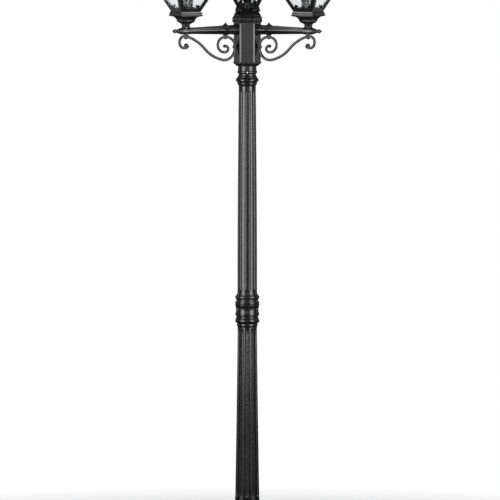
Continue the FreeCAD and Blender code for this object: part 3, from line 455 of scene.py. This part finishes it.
def fluted_shaft(node_name, turned_by, outline, foot, head):
    """A shaft with its bore, in place of its node. Outline and flute ends are in mm."""
    box_low, box_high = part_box(node_name)
    axis = (box_low + box_high) / 2
    low, high = foot * MM + CUTTER, head * MM - CUTTER
    outline = [tuple(value * MM for value in point) for point in outline]
    shape = bmesh.new()
    rings = []
    for radius, height, fluted in shaft_rings(outline, flute_heights(low, high)):
        section = flute_section(radius, max(0, low - height, height - high), fluted)
        ring = []
        for flute in range(FLUTES):
            for angle, reach in section:
                way = turned_by + flute * math.tau / FLUTES + angle
                ring.append(shape.verts.new((axis.x + reach * math.cos(way),
                                             axis.y + reach * math.sin(way), height)))
        rings.append(ring)
    for number, ring in enumerate(rings):
        before, count = rings[number - 1], len(ring)
        for n in range(count):
            m = (n + 1) % count
            shape.faces.new((before[n], before[m], ring[m], ring[n]))
    name = node_name + "_flutes"
    shown(name, made_mesh(name, shape), "black_casting", "post", node_name)


def lower_shaft():
    """Lower length, from its foot spigot to the ring under the coupling sleeve."""
    low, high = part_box("lower_shaft")
    foot, top = low.z / MM + 40, high.z / MM
    fluted_shaft("lower_shaft", 0, (
        (31, foot - 40), (36, foot - 40), (36, foot), (43, foot), (34, top - 37, -0.5),
        (35.8, top - 33, -0.5), (35.8, top - 27, 0.9), (35.2, top - 25), (37.2, top - 22.5),
        (39.2, top - 7.5, 4.4), (38.6, top - 6.5), (39.8, top - 3.5, 0.9),
        (37.4, top - 1.6), (37.4, top), (24.05, top), (24.05, top - 75), (27, top - 82),
    ), foot + 30, top - 39)


def upper_shaft():
    """Upper length, from the ring above the sleeve to the spigot inside the hub socket."""
    low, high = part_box("upper_shaft")
    foot, top = low.z / MM, high.z / MM - 58
    fluted_shaft("upper_shaft", math.radians(18), (
        (24.05, foot), (37.8, foot), (37.8, foot + 1.6), (38.8, foot + 4, 0.6),
        (38.4, foot + 5), (39.2, foot + 6), (38.6, foot + 18.5, 3.6), (37.2, foot + 20.5),
        (34.2, foot + 34, -1.2), (29.8, top - 56, 1.1), (29.9, top - 43),
        (32.4, top - 35.5, -0.7), (34, top - 34), (34, top - 29.5, 0.9), (33.4, top - 27.5),
        (36, top - 26), (36, top - 12.5, 4.2), (33.8, top - 10), (33.6, top - 7, 0.4),
        (30.4, top - 1.5, -0.5), (30.4, top), (24, top), (24, top + 58),
        (20, top + 58), (20, foot + 82), (24.05, foot + 75),
    ), foot + 38, top - 56)


# ------------------------------------------------------------------ inside the lanterns


def lantern_frame(side):
    """A lantern's own frame: +Z up its axis, +X outward along its arm."""
    low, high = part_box(f"lamp_holder_{side}")
    axis = (low + high) / 2
    turn = Matrix.Rotation(math.atan2(axis.y, axis.x), 4, "Z")
    return Matrix.Translation((axis.x, axis.y, low.z)) @ turn


class Glazing:
    """The four sloping panes of a lantern, measured from its glass node."""

    def __init__(self, side):
        self.home = lantern_frame(side)
        back = self.home.inverted()
        spots = [back @ vert.co for vert in NODES[f"lantern_glass_{side}"].data.vertices]
        self.bottom = min(spot.z for spot in spots)
        self.top = max(spot.z for spot in spots)
        self.low = max(abs(spot.x) for spot in spots if spot.z < self.bottom + 1e-4)
        self.high = max(abs(spot.x) for spot in spots if spot.z > self.top - 1e-4)
        self.thick = 3.9 * MM  # a pane, measured level
        self.corner = 4.95 * MM  # gap at the mitre, along the face

    def out(self, height):
        """Lantern axis to a pane's outer face at a height."""
        share = (height - self.bottom) / (self.top - self.bottom)
        return self.low + (self.high - self.low) * share

    def face(self, number):
        """The lantern's frame turned until +X points out of one of its four faces."""
        return self.home @ Matrix.Rotation(math.pi / 2 * number, 4, "Z")


PANE_ROWS, PANE_COLUMNS = 52, 50


def hammered_sheet(shape, glazing, number, inset, inward, seed):
    """One face of a pane, as rows of vertices that stand off it by an uneven relief. inset
    is how far the face lies behind the outer one, and inward is 1 where the relief goes in
    toward the lantern's axis."""
    home = glazing.face(number)
    coarse, fine = 8 * MM, 3.6 * MM
    relief, swing = 0.06 * MM, 0.035 * MM
    sheet = []
    for row in range(PANE_ROWS + 1):
        height = glazing.bottom + (glazing.top - glazing.bottom) * row / PANE_ROWS
        reach = glazing.out(height) - inset
        half = reach - glazing.corner
        line = []
        for column in range(PANE_COLUMNS + 1):
            along = half * (2 * column / PANE_COLUMNS - 1)
            spot = Vector((along, height, number * 0.9 + seed))
            wave = noise.noise(spot / coarse) + 0.6 * noise.noise(spot / fine)
            depth = inward * (relief + swing * max(-1, min(1, wave)))
            line.append(shape.verts.new(home @ Vector((reach - depth, along, height))))
        sheet.append(line)
    return sheet


def rim_of(sheet):
    """A sheet's outer vertices, once round."""
    return (sheet[0] + [line[-1] for line in sheet[1:]] + sheet[-1][-2::-1]
            + [line[0] for line in sheet[-2:0:-1]])


def seeded_panes(side):
    """The lantern's panes with their hammered relief, in place of the smooth ones."""
    glazing = Glazing(side)
    shape = bmesh.new()
    for number in range(4):
        outer = hammered_sheet(shape, glazing, number, 0, 1, 3.1)
        inner = hammered_sheet(shape, glazing, number, glazing.thick, -1, 7.7)
        for row in range(PANE_ROWS):
            for column in range(PANE_COLUMNS):
                shape.faces.new((outer[row][column], outer[row][column + 1],
                                 outer[row + 1][column + 1], outer[row + 1][column]))
                shape.faces.new((inner[row][column], inner[row + 1][column],
                                 inner[row + 1][column + 1], inner[row][column + 1]))
        front, back = rim_of(outer), rim_of(inner)
        for n in range(len(front)):
            m = (n + 1) % len(front)
            shape.faces.new((front[m], front[n], back[n], back[m]))
    name = f"seeded_panes_{side}"
    shown(name, made_mesh(name, shape), "seeded_glass", "post", f"lantern_glass_{side}")


def pane_clips(side):
    """A screwed clip inside each lower corner of every pane."""
    up, from_corner, gap = 13.5 * MM, 11.5 * MM, 0.25 * MM
    width, length, thick, behind_screw = 8 * MM, 15 * MM, 1.3 * MM, 6 * MM
    head = [(r * MM, z * MM) for r, z in (
        (0, 1.0), (4.3, 1.0), (4.3, 1.9), (4.0, 2.5), (3.2, 3.2), (2.0, 3.7), (0, 3.9))]
    glazing = Glazing(side)
    slope = math.atan2(glazing.high - glazing.low, glazing.top - glazing.bottom)
    height = glazing.bottom + up
    reach = glazing.out(height) - glazing.thick / math.cos(slope) - gap
    lean = Matrix.Rotation(-math.pi / 2 + slope, 4, "Y")
    strips, heads = bmesh.new(), bmesh.new()
    for number in range(4):
        for sign in (-1, 1):
            along = sign * (reach - from_corner)
            spot = glazing.face(number) @ Matrix.Translation((reach, along, height)) @ lean
            toward_corner = Matrix.Rotation(math.radians(-90 + 35 * sign), 4, "Z")
            start = spot @ toward_corner @ Matrix.Translation((-behind_screw, 0, 0))
            tongue(strips, start, width, length, thick)
            lathe(heads, spot, head)
    for name, shape, finish in ((f"pane_clips_{side}", strips, "black_casting"),
                                (f"clip_screws_{side}", heads, "black_screws")):
        shown(name, made_mesh(name, shape), finish, "post")


def bulb_inside(side):
    """A bulb's glass stem, its support wires and its coiled filament."""
    home = lantern_frame(side)
    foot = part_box(f"bulb_glass_{side}")[0].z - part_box(f"lamp_holder_{side}")[0].z
    home = home @ Matrix.Translation((0, 0, foot))
    stem = bmesh.new()
    lathe(stem, home, [(r * MM, z * MM) for r, z in (
        (0, 3), (8.6, 3), (8.2, 5), (5.2, 8), (3.0, 13), (2.4, 20), (2.3, 27), (3.0, 29),
        (3.1, 30.5), (2.2, 32), (0, 32.4))])
    name = f"bulb_stem_{side}"
    shown(name, made_mesh(name, stem), "lamp_glass", f"bulb_{side}")

    wires = bmesh.new()
    support = ((1.2, 24), (1.5, 30), (3.2, 34), (6.4, 38), (8.6, 41), (8.8, 43))
    for sign in (-1, 1):
        path = [Vector((sign * x * MM, 0, z * MM)) for x, z in support]
        wire(wires, home, path, 0.3 * MM)
    wire(wires, home, filament_path(*support[-1]), 0.11 * MM, 5)
    name = f"bulb_filament_{side}"
    shown(name, made_mesh(name, wires, 80), TUNGSTEN, f"bulb_{side}")


def filament_path(reach, height):
    """A sagging coil between two supports' tips, which are at reach and height in mm."""
    turns, steps, radius, sag = 22, 12, 0.5, 1.6
    path = []
    for n in range(turns * steps + 1):
        share, turn = n / (turns * steps), math.tau * n / steps
        path.append(Vector((
            -reach + 2 * reach * share,
            radius * math.cos(turn),
            height - sag * math.sin(math.pi * share) + radius * math.sin(turn))) * MM)
    return path


# ------------------------------------------------------------------ studio


def area_light(name, azimuth, away, height, width, tall, radiance):
    """Upright softbox that faces the post. Azimuth 0 is the camera's side."""
    lamp = bpy.data.lights.new(name, "AREA")
    lamp.shape = "RECTANGLE"
    lamp.size, lamp.size_y = width, tall
    lamp.energy = radiance * math.pi * width * tall
    box = bpy.data.objects.new(name, lamp)
    bpy.context.scene.collection.objects.link(box)
    way = math.radians(azimuth)
    box.location = (away * math.sin(way), -away * math.cos(way), height)
    box.rotation_euler = (math.radians(90), 0, way)
    box.visible_camera = False


def studio():
    """White backdrop, a dark room for reflections, and softboxes mirrored left and right,
    with a weak one in front."""
    world = bpy.data.worlds.new("studio")
    bpy.context.scene.world = world
    world.use_nodes = True
    tree = world.node_tree
    out = tree.nodes["World Output"]
    room = tree.nodes["Background"]
    way = node(tree, "TexCoord").outputs["Generated"]
    height = node(tree, "SeparateXYZ", {0: way}).outputs["Z"]
    tree.links.new(ramp(tree, spread(tree, height, 0, 1, -1, 1),
                        (0.0, 0.01), (0.44, 0.02), (0.5, 0.05), (0.56, 0.04), (0.7, 0.02),
                        (1.0, 0.02)),
                   room.inputs["Color"])
    white = node(tree, "Background", {"Color": (1, 1, 1, 1), "Strength": 1.0})
    path = node(tree, "LightPath")
    seen = math_of(tree, "MAXIMUM", path.outputs["Is Camera Ray"],
                   path.outputs["Is Transmission Ray"])
    both = node(tree, "MixShader", {0: seen, 1: room.outputs[0], 2: white.outputs[0]})
    tree.links.new(both.outputs[0], out.inputs["Surface"])
    for side, sign in (("left", -1), ("right", 1)):
        area_light("key_" + side, sign * 47, 2.5, 1.78, 1.5, 2.5, 7.5)
        area_light("high_" + side, sign * 80, 2.2, 4.5, 2.0, 2.4, 1.6)
        area_light("low_" + side, sign * 60, 2.4, 0.25, 0.9, 0.5, 2.0)
        area_light("ledge_" + side, sign * 62, 2.2, 3.6, 1.0, 0.8, 7.0)
        area_light("rear_" + side, sign * 118, 2.5, 1.5, 0.9, 2.4, 0.6)
    area_light("front", 0, 3.5, 2.15, 1.2, 1.5, 1.5)


def floor():
    """Pale studio floor that fades into the backdrop."""
    radius, gap = 2.4, 0.5 * MM
    mesh = bpy.data.meshes.new("studio_floor")
    shape = bmesh.new()
    bmesh.ops.create_circle(shape, cap_ends=True, segments=96, radius=radius)
    shape.to_mesh(mesh)
    shape.free()
    disc = bpy.data.objects.new("studio_floor", mesh)
    disc.location.z = CAD_BOX[0].z - gap
    bpy.context.scene.collection.objects.link(disc)
    made, tree, shader, place = material("pale_floor", Roughness=0.6)
    cloud = noise_of(tree, place, 0.4, 3)
    tree.links.new(ramp(tree, cloud, (0.3, (0.80, 0.80, 0.80)), (0.7, (0.84, 0.84, 0.84))),
                   shader.inputs["Base Color"])
    out = node(tree, "VectorMath", {0: place}, operation="LENGTH").outputs["Value"]
    fade = spread(tree, out, 0, 1, radius * 0.35, radius)
    through = node(tree, "BsdfTransparent")
    both = node(tree, "MixShader", {0: fade, 1: shader.outputs[0], 2: through.outputs[0]})
    tree.links.new(both.outputs[0], tree.nodes["Material Output"].inputs["Surface"])
    mesh.materials.append(made)
    disc.visible_glossy = disc.visible_diffuse = False


def camera():
    """Long lens from a little above, on the stretch from the lanterns' feet down to the lower
    shaft."""
    away, sideways, height = 25.0, 0.0096, 3.075
    tilt, azimuth = math.radians(4.5094), math.radians(0.3)
    lens = bpy.data.cameras.new("camera")
    lens.sensor_width = 36
    lens.lens = 516.06
    lens.clip_end = 200
    seat = bpy.data.objects.new("camera", lens)
    bpy.context.scene.collection.objects.link(seat)
    bpy.context.scene.camera = seat
    across = Vector((math.cos(azimuth), math.sin(azimuth), 0))
    back = Vector((math.sin(azimuth), -math.cos(azimuth), 0))
    seat.location = across * sideways + back * away + Vector((0, 0, height))
    seat.rotation_euler = (math.radians(90) - tilt, 0, azimuth)
    bpy.context.scene.view_settings.view_transform = "Standard"


camera()
studio()
floor()
dress_nodes()
lower_shaft()
upper_shaft()
for lantern in LANTERNS:
    seeded_panes(lantern)
    pane_clips(lantern)
    bulb_inside(lantern)
